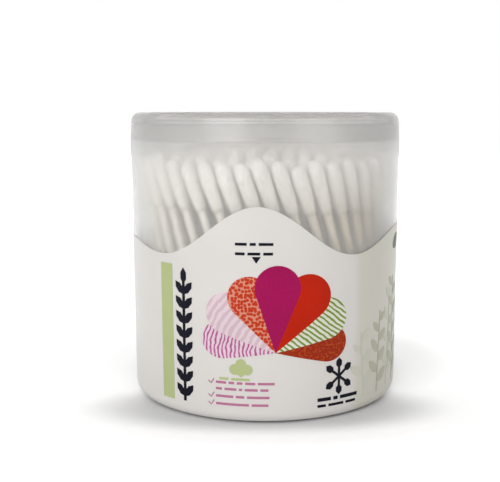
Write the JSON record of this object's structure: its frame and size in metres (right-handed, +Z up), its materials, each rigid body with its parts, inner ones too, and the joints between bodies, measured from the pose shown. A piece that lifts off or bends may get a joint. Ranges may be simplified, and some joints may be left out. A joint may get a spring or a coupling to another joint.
{
  "type": "cotton swab tub",
  "caption": "Round translucent tub with a hinged flip lid and a wavy printed wrap label, packed with upright leaning cotton swabs.",
  "frame": {"origin": "centre of the flat base", "axes": "+Z up, -Y towards the front of the label, hinge at +Y"},
  "size_m": [0.082, 0.082, 0.0849],
  "materials": {
    "frosted_shell": "natural polypropylene, frosted and translucent",
    "frosted_lid": "natural polypropylene, frosted and translucent",
    "label_film": "white printed film, satin",
    "stick": "white extruded stick",
    "cotton": "spun white cotton",
    "ink_magenta": "printed ink, magenta",
    "ink_vermilion": "printed ink, vermilion",
    "ink_orange": "printed ink, orange",
    "ink_leaf_green": "printed ink, leaf green",
    "ink_blush": "printed ink, pale pink",
    "ink_rust": "printed ink, rust",
    "ink_pink": "printed ink, pink",
    "ink_navy": "printed ink, navy",
    "ink_pale_green": "printed ink, pale green"
  },
  "bodies": {
    "tub": {"tub_body": "frosted_shell", "label": "label_film", "ink_magenta": "ink_magenta", "ink_vermilion": "ink_vermilion", "ink_orange": "ink_orange", "ink_leaf_green": "ink_leaf_green", "ink_blush": "ink_blush", "ink_rust": "ink_rust", "ink_pink": "ink_pink", "ink_navy": "ink_navy", "ink_pale_green": "ink_pale_green", "swab_sticks_ring_1": "stick", "swab_sticks_ring_2": "stick", "swab_sticks_ring_3": "stick", "swab_sticks_ring_4": "stick", "swab_sticks_ring_5": "stick", "swab_sticks_ring_6": "stick", "swab_sticks_ring_7": "stick", "swab_sticks_ring_8": "stick", "cotton_tips_ring_1": "cotton", "cotton_tips_ring_2": "cotton", "cotton_tips_ring_3": "cotton", "cotton_tips_ring_4": "cotton", "cotton_tips_ring_5": "cotton", "cotton_tips_ring_6": "cotton", "cotton_tips_ring_7": "cotton", "cotton_tips_ring_8": "cotton"},
    "lid": {"lid": "frosted_lid"}
  },
  "joints": [
    {"name": "lid_hinge", "type": "hinge", "parent": "tub", "child": "lid", "pos_m": [0, 0.041, 0.0815], "axis": [-1, 0, 0], "range_deg": [0, 120]}
  ]
}
